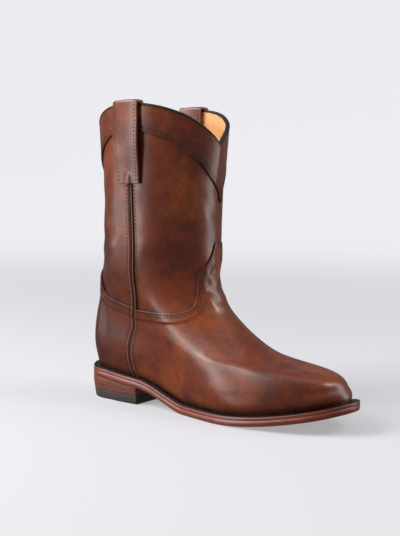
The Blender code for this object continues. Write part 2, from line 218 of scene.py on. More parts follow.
def sole_top(x):
    return sole_under(x) + SOLE_BUILD


def lofted_points(turn, level):
    """Points straight from the tables, before fairing."""
    s = through(SECTION_TABLE, level * (SECTIONS - 1))
    angle = 2 * np.pi * turn
    share = (1 - np.cos(angle)) / 2
    back, rise_back, front, rise_front = s[:, 0], s[:, 1], s[:, 2], s[:, 3]
    x = back + (front - back) * share
    fullness = s[:, 5:] / (2 * np.sqrt(WIDTH_STATIONS * (1 - WIDTH_STATIONS)))
    foot = 1 - smoothstep(rise_back / INSTEP_HEIGHT * FOOT_FADE)
    along_last = (x - LAST_BACK) / LAST_LENGTH * (len(CENTRE_LINE) - 1)
    bow = foot * BALL_HALF_WIDTH * through(CENTRE_LINE, along_last)
    y = bow - between_stations(fullness, share) * np.sin(angle)
    seat = float(sole_top(np.array(0.0)))
    base = foot * sole_top(x) + (1 - foot) * seat
    climb = np.maximum(0, (rise_back - INSTEP_HEIGHT) / (COLLAR_HEIGHT - INSTEP_HEIGHT))
    lift = COLLAR_SCALLOP * climb ** 3 * np.abs(np.sin(angle)) ** SCALLOP_POWER
    return np.stack((x, y, base + rise_back + (rise_front - rise_back) * share + lift), 1)


# %% [markdown]
# A few sections leave faint ridges across the vamp, which glossy leather would show. A last maker fairs
# them with a rasp. Here a fine lattice of the form is blurred, and what the blur changes is added back
# over the vamp alone, so the sole's outline and the shaft keep their tables.

# %% Fairing the vamp
FAIR_TURNS, FAIR_LEVELS = 512, 240
FAIR_WIDTH_ROUND, FAIR_WIDTH_UP = 38, 13
FAIR_START_TURN, FAIR_TURN_FADE = 0.26, 0.10
FAIR_START_LEVEL, FAIR_END_LEVEL, FAIR_LEVEL_FADE = 0.04, 0.58, 0.12


def blurred(lattice, width, axis):
    """A lattice averaged with bell-shaped weights along one axis, straight on beyond its ends."""
    reach = 3 * width
    moved = np.moveaxis(lattice, axis, 0)
    if axis == 1:
        padded = np.concatenate((moved[-reach:], moved, moved[:reach]))
    else:
        start = 2 * moved[:1] - moved[reach:0:-1]
        end = 2 * moved[-1:] - moved[-2:-reach - 2:-1]
        padded = np.concatenate((start, moved, end))
    total, weights = np.zeros_like(moved), 0.0
    for shift in range(-reach, reach + 1):
        weight = math.exp(-0.5 * (shift / width) ** 2)
        total += weight * padded[reach + shift:reach + shift + len(moved)]
        weights += weight
    return np.moveaxis(total / weights, 0, axis)


def fairing_field():
    """How far fairing moves each point of the lattice."""
    levels, turns = np.meshgrid(
        np.linspace(0, 1, FAIR_LEVELS + 1), np.arange(FAIR_TURNS) / FAIR_TURNS, indexing="ij"
    )
    lattice = lofted_points(turns.ravel(), levels.ravel()).reshape(*levels.shape, 3)
    once = blurred(blurred(lattice, FAIR_WIDTH_ROUND, 1), FAIR_WIDTH_UP, 0)
    twice = blurred(blurred(once, FAIR_WIDTH_ROUND, 1), FAIR_WIDTH_UP, 0)
    ahead = smoothstep((0.5 - np.abs(turns - 0.5) - FAIR_START_TURN) / FAIR_TURN_FADE)
    begun = smoothstep((levels - FAIR_START_LEVEL) / FAIR_LEVEL_FADE)
    over = smoothstep((levels - FAIR_END_LEVEL) / FAIR_LEVEL_FADE)
    return (2 * once - twice - lattice) * (ahead * (begun * (1 - over)))[:, :, None]


FAIRING = fairing_field()
print("most that fairing moves, mm:", round(float(np.abs(FAIRING).max()) * 1000, 2))


def form_points(turn, level):
    """Points of the boot's outer form, before the leather's thickness and its creases."""
    column, row = (turn % 1.0) * FAIR_TURNS, np.clip(level, 0, 1) * FAIR_LEVELS
    c, r = column.astype(int) % FAIR_TURNS, np.minimum(row.astype(int), FAIR_LEVELS - 1)
    d = (c + 1) % FAIR_TURNS
    a, b = (column - np.floor(column))[:, None], (row - r)[:, None]
    low = FAIRING[r, c] * (1 - a) + FAIRING[r, d] * a
    high = FAIRING[r + 1, c] * (1 - a) + FAIRING[r + 1, d] * a
    return lofted_points(turn, level) + low * (1 - b) + high * b


ADDRESS_STEP = 0.002


def form_normals(turn, level):
    """The outward direction at each address, level at the feather line."""
    step = ADDRESS_STEP
    around = form_points(turn + step, level) - form_points(turn - step, level)
    up = form_points(turn, np.minimum(level + step, 1)) - form_points(turn, np.maximum(level - step, 0))
    normal = np.cross(around, up)
    normal[:, 2] *= np.minimum(1.0, level * (SECTIONS - 1))
    return normal / np.linalg.norm(normal, axis=1)[:, None]


def form(turn, level, out=0.0):
    """Points of the form moved out along its normal."""
    turn, level = np.broadcast_arrays(np.atleast_1d(turn).astype(float), np.atleast_1d(level).astype(float))
    distance = np.broadcast_to(out, turn.shape)[:, None]
    return form_points(turn, level) + distance * form_normals(turn, level)


def column_turn(share):
    """Turn of a column at share of the way round, closer together along the sides than at the ends."""
    return share + 0.2 * np.sin(4 * np.pi * share) / (4 * np.pi)


def seam_turn(level):
    """How far round the outer side seam lies. The inner one lies at 1 minus this."""
    seam = through(SECTION_TABLE, level * (SECTIONS - 1))[:, 4]
    return np.arccos(1 - 2 * seam) / (2 * np.pi)


def beside_seam(level, distance):
    """The turn at a distance ahead of the outer side seam, measured round the section."""
    turn, step = seam_turn(level), ADDRESS_STEP
    run = np.linalg.norm(form_points(turn + step, level) - form_points(turn - step, level), axis=1)
    return turn + distance * 2 * step / run


def level_below_collar(drop):
    """The level that lies a drop below the collar's top at the side seam."""
    levels = np.linspace(0.5, 1.0, 2001)
    heights = form_points(seam_turn(levels), levels)[:, 2]
    return float(np.interp(heights[-1] - drop, heights, levels))


collar_top = form_points(seam_turn(np.array([1.0])), np.array([1.0]))[0]
print("collar at the side seam, mm:", (collar_top * 1000).round(1))

# %% [markdown]
# ## Panels, and where their edges run
# Leather panels are cut flat and sewn on, so each has an edge that can be drawn as height against the
# way round. The tables hold those edges. Reading a table a little to both sides and taking the average
# rounds its corners, as a knife does.

# %% Edges of the panels
VAMP_TOP = np.array((
    (0.000, 6.64), (0.120, 7.16), (0.190, 7.50), (0.230, 7.74), (0.271, 8.04), (0.305, 8.40),
    (0.341, 8.90), (0.362, 9.32), (0.414, 9.56), (0.459, 9.80), (0.484, 9.96), (0.508, 10.16),
    (0.610, 10.16), (0.634, 9.96), (0.657, 9.80), (0.695, 9.56), (0.735, 9.32), (0.748, 8.90),
    (0.768, 8.40), (0.792, 8.04), (0.820, 7.74), (0.850, 7.50), (0.900, 7.16), (1.000, 6.64),
))
COUNTER_HALF = np.array((
    (0.000, 6.72), (0.130, 6.68), (0.200, 6.74), (0.245, 6.98), (0.280, 7.50), (0.312, 7.94),
    (0.365, 8.30), (0.420, 8.80), (0.452, 9.50), (0.466, 9.78), (0.500, 9.80),
))
FRONT_ARCH = np.array((
    (0.000, 11.70), (0.080, 11.68), (0.200, 11.63), (0.314, 11.50), (0.390, 11.42), (0.440, 11.28),
    (0.498, 11.16), (0.540, 10.98), (0.566, 10.74), (0.592, 10.98), (0.634, 11.16), (0.692, 11.28),
    (0.742, 11.42), (0.810, 11.50), (0.900, 11.63), (1.000, 11.70),
))
BACK_HALF = np.array((
    (0.000, 11.70), (0.120, 11.66), (0.250, 11.52), (0.350, 11.34), (0.440, 11.10), (0.480, 10.94),
    (0.500, 10.80),
))


def mirrored(half):
    """An edge that runs back down the other side as it came up."""
    return np.concatenate((half, [(1 - share, section) for share, section in half[-2::-1]]))


COUNTER_TOP = mirrored(COUNTER_HALF)
BACK_ARCH = mirrored(BACK_HALF)
CORNER_ROUNDING = 0.008


def edge_level(edge, share):
    """The level of a panel's edge at each share of its way round."""
    steps = np.linspace(-CORNER_ROUNDING, CORNER_ROUNDING, 5)
    read = [np.interp(np.clip(share + step, 0, 1), edge[:, 0], edge[:, 1]) for step in steps]
    return np.mean(read, 0) / (SECTIONS - 1)


def round_front(level):
    """Turns from the outer side seam to the inner one by the front, clear of the piping."""
    turn = beside_seam(level, SEAM_CHANNEL / 2)
    return turn, 1 - turn


def round_back(level):
    """Turns from the outer side seam to the inner one by the back, clear of the piping."""
    turn = beside_seam(level, -SEAM_CHANNEL / 2)
    return turn, -turn


def edge_path(edge, reach, steps=400):
    """The addresses of points along a panel's edge."""
    share = np.linspace(0, 1, steps)
    level = edge_level(edge, share)
    start, end = reach(level)
    return start + (end - start) * share, level


# %% [markdown]
# ## Creases, ridges and soft dents
# Leather that has been pulled over a last is never quite even. The folds of the ankle, the ridge where
# the vamp drapes over the shaft's lower edge and the tuck at the sole are all one height field, the
# **relief**. Upper, panels and stitches are laid on it together, so they stay on one another.

# %% The folds, listed one by one
Fold = namedtuple("Fold", "turn section to_turn to_section width depth")
FOLDS = (
    Fold(0.485, 9.42, 0.525, 9.05, 0.0048, 0.0005),
    Fold(0.468, 8.95, 0.540, 8.70, 0.0046, 0.0009),
    Fold(0.480, 8.42, 0.530, 8.30, 0.0050, 0.0005),
    Fold(0.590, 9.40, 0.545, 9.10, 0.0048, 0.0004),
    Fold(0.600, 8.95, 0.535, 8.62, 0.0048, 0.0007),
    Fold(0.290, 10.78, 0.430, 10.66, 0.0080, 0.0004),
    Fold(0.360, 10.36, 0.480, 10.24, 0.0075, 0.0004),
    Fold(0.300, 9.70, 0.400, 9.86, 0.0085, 0.0004),
    Fold(0.440, 10.90, 0.520, 10.58, 0.0060, 0.0005),
    Fold(0.150, 10.90, 0.050, 10.60, 0.0080, 0.0004),
    Fold(0.170, 10.20, 0.060, 9.96, 0.0070, 0.0005),
    Fold(0.160, 9.40, 0.070, 9.10, 0.0075, 0.0004),
    Fold(-0.150, 10.80, -0.050, 10.50, 0.0080, 0.0004),
    Fold(-0.170, 9.90, -0.060, 9.60, 0.0070, 0.0005),
    Fold(0.640, 10.70, 0.720, 10.50, 0.0080, 0.0004),
    Fold(0.620, 10.10, 0.700, 9.86, 0.0080, 0.0004),
)
VAMP_EDGE = form_points(*edge_path(VAMP_TOP, round_front))
COUNTER_EDGE = form_points(*edge_path(COUNTER_TOP, round_back))
FOLD_STEPS = 7
BANK_SHARE, BANK_PLACE, BANK_SPREAD = 0.5, 1.7, 0.5
UNDERLAP, UNDERLAP_FADE = 0.0085, 0.0022
UNDERLAP_DROP = 0.0009
FEATHER_TUCK, FEATHER_TUCK_HEIGHT = 0.0016, 0.0035
UNEVEN_BROAD, UNEVEN_FINE = 0.00012, 0.00005


def distance_to(path, points):
    """How far each point is from a path of short straight runs."""
    nearest = np.full(len(points), np.inf)
    for start, end in zip(path[:-1], path[1:]):
        run = end - start
        share = np.clip((points - start) @ run / max(run @ run, 1e-12), 0, 1)
        nearest = np.minimum(nearest, np.linalg.norm(points - start - share[:, None] * run, axis=1))
    return nearest


def fold_paths():
    """Points along each fold."""
    steps = np.linspace(0, 1, FOLD_STEPS)
    paths = []
    for fold in FOLDS:
        turn = fold.turn + (fold.to_turn - fold.turn) * steps
        section = fold.section + (fold.to_section - fold.section) * steps
        paths.append(form_points(turn, section / (SECTIONS - 1)))
    return paths


FOLD_PATHS = fold_paths()


def below_underlap(turn, level, points):
    """1 where vamp or counter has come off the shaft's hidden lower edge, 0 above that ridge."""
    seam = seam_turn(level)
    wrapped = turn % 1.0
    behind = np.where(wrapped > 0.5, wrapped - 1, wrapped)
    ahead = (wrapped > seam) & (wrapped < 1 - seam)
    front_edge = edge_level(VAMP_TOP, (wrapped - seam) / (1 - 2 * seam))
    back_edge = edge_level(COUNTER_TOP, (seam - behind) / (2 * seam))
    inside = level < np.where(ahead, front_edge, back_edge)
    far = np.minimum(distance_to(VAMP_EDGE[::4], points), distance_to(COUNTER_EDGE[::4], points))
    return inside * smoothstep((far - UNDERLAP) / UNDERLAP_FADE)


def relief(turn, level, points):
    """How far the skin stands off its form at each address. A fold has a soft bank on each side."""
    height = np.zeros(len(points))
    for fold, path in zip(FOLDS, FOLD_PATHS):
        near = distance_to(path, points) / fold.width
        height -= fold.depth * np.exp(-near ** 2)
        height += BANK_SHARE * fold.depth * np.exp(-(near - BANK_PLACE) ** 2 / BANK_SPREAD)
    height -= UNDERLAP_DROP * below_underlap(turn, level, points)
    rise = np.maximum(points[:, 2] - sole_top(points[:, 0]), 0)
    height -= FEATHER_TUCK * np.exp(-(rise / FEATHER_TUCK_HEIGHT) ** 2)
    x, y, z = points.T * 1000
    height += UNEVEN_BROAD * np.sin(x / 19 + z / 27 + 1.3) * np.sin(y / 21 - z / 33)
    height += UNEVEN_FINE * np.sin(z / 9 + x / 19) * np.sin(x / 14 + y / 17 + 0.6)
    return height


def skin(turn, level, out=0.0):
    """Points of the creased leather, moved out along the form's normal."""
    turn, level = np.broadcast_arrays(np.atleast_1d(turn).astype(float), np.atleast_1d(level).astype(float))
    base = form_points(turn, level)
    distance = np.broadcast_to(out, turn.shape) + relief(turn, level, base)
    return base + distance[:, None] * form_normals(turn, level)


print("folds:", len(FOLDS))

# %% [markdown]
# ## Colours and the node helper
# A maker's colour chart is in sRGB, as on a screen, while the shader counts light. One function turns a
# hex value into light. Another adds a node, gives it its settings and links what feeds it, so a material
# reads as a list of steps.


# %% Helpers for the materials
def light_of(hex_colour):
    """An sRGB hex value as linear red, green, blue and alpha."""
    parts = [int(hex_colour[i:i + 2], 16) / 255 for i in (1, 3, 5)]
    return (*(p / 12.92 if p <= 0.04045 else ((p + 0.055) / 1.055) ** 2.4 for p in parts), 1.0)


def add_node(tree, kind, feeds=(), **settings):
    """Add a node to a tree. feeds names its inputs, each with a value or with the output that drives it."""
    made = tree.nodes.new(kind)
    for key, value in settings.items():
        setattr(made, key, value)
    for name, value in dict(feeds).items():
        if isinstance(value, bpy.types.NodeSocket):
            tree.links.new(value, made.inputs[name])
        else:
            made.inputs[name].default_value = value
    return made


def new_material(name):
    surface = bpy.data.materials.new(name)
    surface.use_nodes = True
    surface.node_tree.nodes.clear()
    return surface, surface.node_tree


def close_material(tree, shader):
    add_node(tree, "ShaderNodeOutputMaterial", {"Surface": shader.outputs["BSDF"]})


# %% [markdown]
# ## Burnished calf leather
# Smooth cowhide, dyed chestnut, then burnished: wax and friction darken it unevenly and leave a thin
# gloss. To the eye that is three things. The colour drifts between orange-brown and near black over a
# few centimetres. The grain is fine pores, hardly seen. The gloss is a soft one from the hide below and
# a sharper, thin one from the wax, which is what the shader's coat is for.


# %% Leather
Mark = namedtuple("Mark", "width detail roughness distortion")
LEATHER_MARKS = (
    Mark(1 / 19, 4.0, 0.58, 0.3),
    Mark(1 / 60, 4.0, 0.52, 0.2),
    Mark(1 / 170, 5.0, 0.62, 0.8),
)
PORE = 0.0009


def burnished_leather(name, deep, body, warm):
    """Clouds of 53 mm, patches of 17 mm and specks of 6 mm drive the dye, and pores the grain."""
    surface, tree = new_material(name)
    place = add_node(tree, "ShaderNodeTexCoord").outputs["Object"]
    clouds, patches, specks = (
        add_node(
            tree, "ShaderNodeTexNoise",
            {
                "Vector": place, "Scale": 1 / mark.width, "Detail": mark.detail,
                "Roughness": mark.roughness, "Distortion": mark.distortion,
            },
        )
        for mark in LEATHER_MARKS
    )
    warm_share = add_node(
        tree, "ShaderNodeMapRange",
        {"Value": clouds.outputs["Fac"], "From Min": 0.44, "From Max": 0.68, "To Min": 0.0, "To Max": 0.62},
        interpolation_type="SMOOTHSTEP",
    )
    tint = add_node(tree, "ShaderNodeAttribute", attribute_name="warm")
    warm_sum = add_node(
        tree, "ShaderNodeMath", {0: warm_share.outputs["Result"], 1: tint.outputs["Fac"]},
        operation="ADD", use_clamp=True,
    )
    first = add_node(
        tree, "ShaderNodeMix",
        {"Factor": warm_sum.outputs[0], "A": light_of(body), "B": light_of(warm)}, data_type="RGBA",
    )
    dark_share = add_node(
        tree, "ShaderNodeMapRange",
        {"Value": patches.outputs["Fac"], "From Min": 0.40, "From Max": 0.78, "To Min": 0.0, "To Max": 0.45},
        interpolation_type="SMOOTHSTEP",
    )
    # This attribute darkens the dye with painted shade along the sole, the seams, the edges and the folds,
    # and with a few darker burnished patches.
    burnish = add_node(tree, "ShaderNodeAttribute", attribute_name="burnish")
    dark_sum = add_node(
        tree, "ShaderNodeMath", {0: dark_share.outputs["Result"], 1: burnish.outputs["Fac"]},
        operation="ADD", use_clamp=True,
    )
    second = add_node(
        tree, "ShaderNodeMix",
        {"Factor": dark_sum.outputs[0], "A": first.outputs["Result"], "B": light_of(deep)}, data_type="RGBA",
    )
    speck_share = add_node(
        tree, "ShaderNodeMapRange",
        {"Value": specks.outputs["Fac"], "From Min": 0.3, "From Max": 0.7, "To Min": 0.74, "To Max": 1.22},
    )
    colour = add_node(
        tree, "ShaderNodeVectorMath",
        {0: second.outputs["Result"], 1: speck_share.outputs["Result"]}, operation="MULTIPLY",
    )
    gloss = add_node(
        tree, "ShaderNodeMapRange",
        {"Value": patches.outputs["Fac"], "From Min": 0.3, "From Max": 0.7, "To Min": 0.32, "To Max": 0.42},
    )
    pores = add_node(
        tree, "ShaderNodeTexVoronoi", {"Vector": place, "Scale": 1 / PORE, "Randomness": 1.0},
    )
    grain = add_node(
        tree, "ShaderNodeBump",
        {"Strength": 0.10, "Distance": 0.0003, "Height": pores.outputs["Distance"]},
    )
    drift = add_node(
        tree, "ShaderNodeBump",
        {"Strength": 0.12, "Distance": 0.0006, "Height": patches.outputs["Fac"], "Normal": grain.outputs[0]},
    )
    shader = add_node(
        tree, "ShaderNodeBsdfPrincipled",
        {
            "Base Color": colour.outputs[0], "Roughness": gloss.outputs["Result"], "IOR": 1.48,
            "Coat Weight": 0.40, "Coat Roughness": 0.22, "Coat IOR": 1.45, "Normal": drift.outputs[0],
        },
    )
    close_material(tree, shader)
    return surface


UPPER_LEATHER = burnished_leather("burnished calf leather", "#3b1409", "#742f16", "#9c4c1d")
STRAP_LEATHER = burnished_leather("burnished strap leather", "#3a150c", "#70311c", "#92481f")


# %% [markdown]
# ## Plain finishes
# Cut leather edges show the dyed fibre, more orange than the face. The piping and the collar's edge are
# black, rolled leather. The lining is undyed pigskin, tan and matt. Sole leather is pressed hard, and its
# edge is stained and waxed. The lift is moulded rubber. All of these differ in colour, gloss and grain,
# so one function takes those as its arguments.


# %% A finish with two tones and a grain
def grained_finish(name, first, second, roughness, grain, depth, coat=0.0, stretch=(1.0, 1.0, 1.0)):
    """A matt to satin finish. grain is the width of its marks and stretch draws them out."""
    surface, tree = new_material(name)
    place = add_node(tree, "ShaderNodeTexCoord").outputs["Object"]
    drawn = add_node(tree, "ShaderNodeMapping", {"Vector": place, "Scale": stretch})
    marks = add_node(
        tree, "ShaderNodeTexNoise",
        {"Vector": drawn.outputs[0], "Scale": 1 / grain, "Detail": 4.0, "Roughness": 0.6},
    )
    share = add_node(
        tree, "ShaderNodeMapRange",
        {"Value": marks.outputs["Fac"], "From Min": 0.35, "From Max": 0.65, "To Min": 0.0, "To Max": 1.0},
    )
    colour = add_node(
        tree, "ShaderNodeMix",
        {"Factor": share.outputs["Result"], "A": light_of(first), "B": light_of(second)}, data_type="RGBA",
    )
    bump = add_node(
        tree, "ShaderNodeBump", {"Strength": 0.4, "Distance": depth, "Height": marks.outputs["Fac"]}
    )
    shader = add_node(
        tree, "ShaderNodeBsdfPrincipled",
        {
            "Base Color": colour.outputs["Result"], "Roughness": roughness, "Coat Weight": coat,
            "Coat Roughness": 0.25, "Normal": bump.outputs[0],
        },
    )
    close_material(tree, shader)
    return surface


RAW_EDGE = grained_finish("dyed cut leather edge", "#a5562a", "#84401e", 0.60, 0.0012, 0.0002)
PANEL_EDGE = grained_finish("waxed panel edge", "#5c2c18", "#441f10", 0.60, 0.0012, 0.0002)
BLACK_EDGE = grained_finish("black rolled leather", "#171413", "#0b0908", 0.66, 0.0015, 0.0002)
LINING = grained_finish("undyed pigskin lining", "#ecb478", "#dc9f60", 0.72, 0.0022, 0.0003)
THREAD = grained_finish("waxed black thread", "#1a0d09", "#0d0705", 0.48, 0.0006, 0.0001)
# The welt's top is dark-dyed leather, made darker still as painted shade for the gap where the upper tucks
# in over it.
DARK_WELT_AND_SHADE = grained_finish("dark waxed welt with painted shade", "#2a1712", "#160c09", 0.50, 0.0018, 0.0002, 0.1)
SOLE_EDGE = grained_finish(
    "stained sole edge", "#8a4230", "#733223", 0.40, 0.0020, 0.0001, 0.15, (0.3, 0.3, 1.5)
)
# The sole edge's rounded lower corner is a lighter colour than the rest of the edge.
SOLE_LOWER = grained_finish("lighter lower sole corner", "#a4573b", "#8a4129", 0.50, 0.0016, 0.0002)
SOLE_GRAIN = grained_finish("natural sole leather", "#b07a50", "#9a6540", 0.60, 0.0030, 0.0002)
HEEL_EDGE = grained_finish(
    "stained heel lifts", "#82493a", "#6c3829", 0.44, 0.0018, 0.0001, 0.12, (0.3, 0.3, 2.0)
)
LIFT_RUBBER = grained_finish("moulded rubber lift", "#4b433d", "#3c3530", 0.68, 0.0010, 0.0003)
SOCK = grained_finish("tan sock leather", "#c99a68", "#b98754", 0.66, 0.0026, 0.0003)
print("materials:", len(bpy.data.materials))

# %% [markdown]
# ## Making a piece from a grid
# `bmesh.ops.create_grid` makes a flat sheet of quads. Each corner's place on the sheet becomes its
# address, and a `place` function moves it to the boot. A closed piece is a sheet whose edges meet again,
# so doubles are merged, and the normals are then turned outwards.


# %% The piece maker
def add_piece(name, columns, rows, place, materials, replaces=(), pick=None, closed=True, tones=None):
    """Make a sheet, lay it out with place(u, v) and finish it as a piece of the boot."""
    mesh = bmesh.new()
    mesh.loops.layers.uv.new("UVMap")
    bmesh.ops.create_grid(mesh, x_segments=columns, y_segments=rows, size=0.5, calc_uvs=True)
    address = np.array([vert.co[:2] for vert in mesh.verts]) + 0.5
    u, v = address.T
    if pick:
        mesh.verts.index_update()
        centres = np.array([address[[vert.index for vert in face.verts]].mean(0) for face in mesh.faces])
        for face, index in zip(mesh.faces, pick(*centres.T)):
            face.material_index = int(index)
    points = place(u, v)
    if tones:
        for layer_name, values in tones(u, v, points).items():
            layer = mesh.verts.layers.float.new(layer_name)
            for vert, value in zip(mesh.verts, values):
                vert[layer] = value
    for vert, point in zip(mesh.verts, points):
        vert.co = point
    if closed:
        bmesh.ops.remove_doubles(mesh, verts=mesh.verts, dist=0.00001)
        bmesh.ops.recalc_face_normals(mesh, faces=mesh.faces)
    return finish_piece(mesh, name, materials, replaces)


def finish_piece(mesh, name, materials, replaces=()):
    """Turn a bmesh into a smooth object that rides on the boot."""
    for face in mesh.faces:
        face.smooth = True
    data = bpy.data.meshes.new(name)
    mesh.to_mesh(data)
    mesh.free()
    for surface in materials:
        data.materials.append(surface)
    piece = bpy.data.objects.new(name, data)
    bpy.context.scene.collection.objects.link(piece)
    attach(piece, "root")
    if replaces:
        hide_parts(*replaces)
    print(name, len(data.polygons), "faces")
    return piece


# %% [markdown]
# ## Light and shade in the dye
# The darkening along the sole, beside the seams, below the edges and in the folds is painted shade, put
# where shade falls, with a few darker burnished patches; the broad faces stay lighter. Two numbers per
# corner carry that into the material: the shade-and-burnish number darkens and **warm** shifts to orange.
# **burnish** darkens and **warm** shifts to orange.

# %% Tones, listed one by one
Spot = namedtuple("Spot", "turn section radius amount")
WARM_SPOTS = (
    Spot(0.400, 10.85, 0.024, 0.75),
    Spot(0.470, 7.60, 0.024, 0.45),
    Spot(0.360, 6.30, 0.024, 0.25),
    Spot(0.455, 1.60, 0.030, 0.25),
    Spot(0.330, 0.90, 0.040, 0.15),
    Spot(0.300, 8.00, 0.028, 0.30),
    Spot(0.500, 3.40, 0.024, 0.25),
)
DARK_SPOTS = (
    Spot(0.400, 3.90, 0.034, 0.22),
    Spot(0.370, 9.80, 0.028, 0.25),
    Spot(0.080, 3.20, 0.044, 0.60),
    Spot(0.080, 9.60, 0.054, 0.60),
    Spot(0.430, 11.60, 0.018, 0.25),
    Spot(0.640, 4.20, 0.034, 0.25),
    Spot(-0.080, 3.20, 0.040, 0.35),
)


Shade = namedtuple("Shade", "amount fade")
# These darken the leather as painted shade: along the sole, beside the seams, along the panels' edges, in
# the folds and on the straps.
SOLE_SHADE, WIDE_SOLE_SHADE = Shade(0.75, 0.005), Shade(0.18, 0.022)
SEAM_SHADE = Shade(0.40, 0.005)
EDGE_SHADE = Shade(0.42, 0.0022)
LOW_EDGE_SHADE = Shade(0.35, 0.004)
FOLD_SHADE = 260
MOST_BURNISH_AND_SHADE = 0.95


def spot_sum(spots, points):
    total = np.zeros(len(points))
    for spot in spots:
        centre = form_points(np.array([spot.turn]), np.array([spot.section / (SECTIONS - 1)]))[0]
        total += spot.amount * np.exp(-(np.linalg.norm(points - centre, axis=1) / spot.radius) ** 2)
    return total


def falling(shade, distance):
    """A shade that falls off steadily with distance."""
    return shade.amount * np.exp(-distance / shade.fade)


def beside(shade, path, points):
    """A shade that lies close along a path."""
    return shade.amount * np.exp(-(distance_to(path, points) / shade.fade) ** 2)


def leather_tones(points):
    """Darkening by painted shade and burnish, and warmth, at each point of the skin."""
    # Painted shade along the sole, where the upper meets the welt.
    rise = np.maximum(points[:, 2] - sole_top(points[:, 0]), 0)
    burnish = falling(SOLE_SHADE, rise) + falling(WIDE_SOLE_SHADE, rise)
    # Painted shade beside the piping of both side seams.
    levels = np.linspace(0, 1, 60)
    turns = seam_turn(levels)
    for seam in (turns, 1 - turns):
        burnish += beside(SEAM_SHADE, form_points(seam, levels), points)
    # Painted shade along the vamp's and the counter's edges.
    for path in (VAMP_EDGE, COUNTER_EDGE):
        burnish += beside(EDGE_SHADE, path[::6], points)
    # Painted shade in each fold's crease.
    for fold, path in zip(FOLDS, FOLD_PATHS):
        burnish += beside(Shade(FOLD_SHADE * fold.depth, fold.width), path[::2], points)
    # A few darker burnished patches of tone.
    burnish += spot_sum(DARK_SPOTS, points)
    return {"burnish": np.clip(burnish, 0, MOST_BURNISH_AND_SHADE), "warm": spot_sum(WARM_SPOTS, points)}


# %% [markdown]
# ## The upper
# One hollow leather form: outside, over the collar's edge and down the inside as far as the sole. A grid
# that closes on itself both ways is the simplest shape for that, like a very tall ring. The inner half
# gets the lining.

# %% Upper and lining
OUTSIDE_SHARE = 0.68
INSIDE_START = 0.70
INSIDE_END = 0.99


def upper_address(v):
    """Level and distance out, up the outside, across the edge and down the lining."""
    stops = (0, OUTSIDE_SHARE, INSIDE_START, INSIDE_END, 1)
    level = np.interp(v, stops, (0, 1, 1, 0, 0))
    out = np.interp(v, stops, (UPPER_FACE, UPPER_FACE, LINING_FACE, LINING_FACE, UPPER_FACE))
    return level, out


def upper_place(u, v):
    level, out = upper_address(v)
    return skin(column_turn(u), level, out)


add_piece(
    "upper_skin", 300, 250, upper_place, [UPPER_LEATHER, LINING], ["upper"],
    pick=lambda u, v: v > OUTSIDE_SHARE,
    tones=lambda u, v, points: leather_tones(points),
)

# %% [markdown]
# ## Vamp, counter and collar panels
# Each is a sheet between two edges. The Solidify modifier gives it the leather's thickness and puts the
# cut-edge finish on its rim, and a small Bevel takes the sharpness off, as an edge tool does.


# %% Panels
PANEL_ROUNDING = 0.0004
SHARP_ANGLE = math.radians(50)


def give_wall(piece, thickness, rounding):
    """Thicken an open sheet inwards, with its second finish on the rim, and round its edges."""
    wall = piece.modifiers.new("leather wall", "SOLIDIFY")
    wall.thickness = thickness
    wall.offset = -1
    wall.material_offset_rim = 1
    edge = piece.modifiers.new("skived edge", "BEVEL")
    edge.width = rounding
    edge.segments = 2
    edge.limit_method = "ANGLE"
    edge.angle_limit = SHARP_ANGLE


def face_outward(piece, point, outward):
    """Turn an open sheet's faces round if the one nearest to a point looks the wrong way."""
    point = Vector(point)
    face = min(piece.data.polygons, key=lambda face: (face.center - point).length_squared)
    if face.normal.dot(Vector(outward)) < 0:
        piece.data.flip_normals()


def add_panel(name, reach, low_edge, high_edge, columns, rows):
    def address(u, v):
        low = np.zeros_like(u) if low_edge is None else edge_level(low_edge, u)
        high = np.ones_like(u) if high_edge is None else edge_level(high_edge, u)
        level = low + (high - low) * v
        start, end = reach(level)
        return start + (end - start) * u, level

    def place(u, v):
        return skin(*address(u, v), OVERLAY_FACE)

    def tones(u, v, points):
        made = leather_tones(points)
        # Painted shade on the panel just above its lower edge.
        if low_edge is not None:
            height = (address(u, v)[1] - edge_level(low_edge, u)) * COLLAR_HEIGHT
            made["burnish"] = np.clip(made["burnish"] + falling(LOW_EDGE_SHADE, height), 0, MOST_BURNISH_AND_SHADE)
        return made

    piece = add_piece(
        name + "_panel", columns, rows, place, [UPPER_LEATHER, PANEL_EDGE], [name],
        closed=False, tones=tones,
    )
    middle = np.array([0.5])
    face_outward(piece, place(middle, middle)[0], form_normals(*address(middle, middle))[0])
    give_wall(piece, OVERLAY, PANEL_ROUNDING)


add_panel("vamp", round_front, None, VAMP_TOP, 240, 110)
add_panel("counter", round_back, None, COUNTER_TOP, 150, 110)
add_panel("collar_front", round_front, FRONT_ARCH, None, 200, 50)
add_panel("collar_back", round_back, BACK_ARCH, None, 160, 50)

# %% [markdown]
# ## Tubes: piping and the collar's bead
# Piping is a strip of thin leather folded round a cord and caught in the seam, and a raw edge of leather
# shows on each side of it. The section of these, and of the collar's bead, is a soft rectangle, so the
# sheet's second direction runs round that section and closes.

# %% Piping, raw seam edges and bead
SIDES = (("lateral", False), ("medial", True))
SECTION_ROUNDNESS = 0.6
STRIP_START = 0.003
STRIP_LAP = 0.004
TIP_SLOPE, TIP_LEFT = 400, 0.02
HAIR = 0.0001
CORD_SIZE = (PIPING_WIDTH + 0.0003, PIPING_HEIGHT + 0.0006)
SEAM_EDGE_SIZE = (0.0015, 0.0020)
SEAM_EDGES = (("ahead", 0.0024), ("behind", -0.0023))
BEAD_LAP = 0.0010
BEAD_OVERHANG = 0.0006


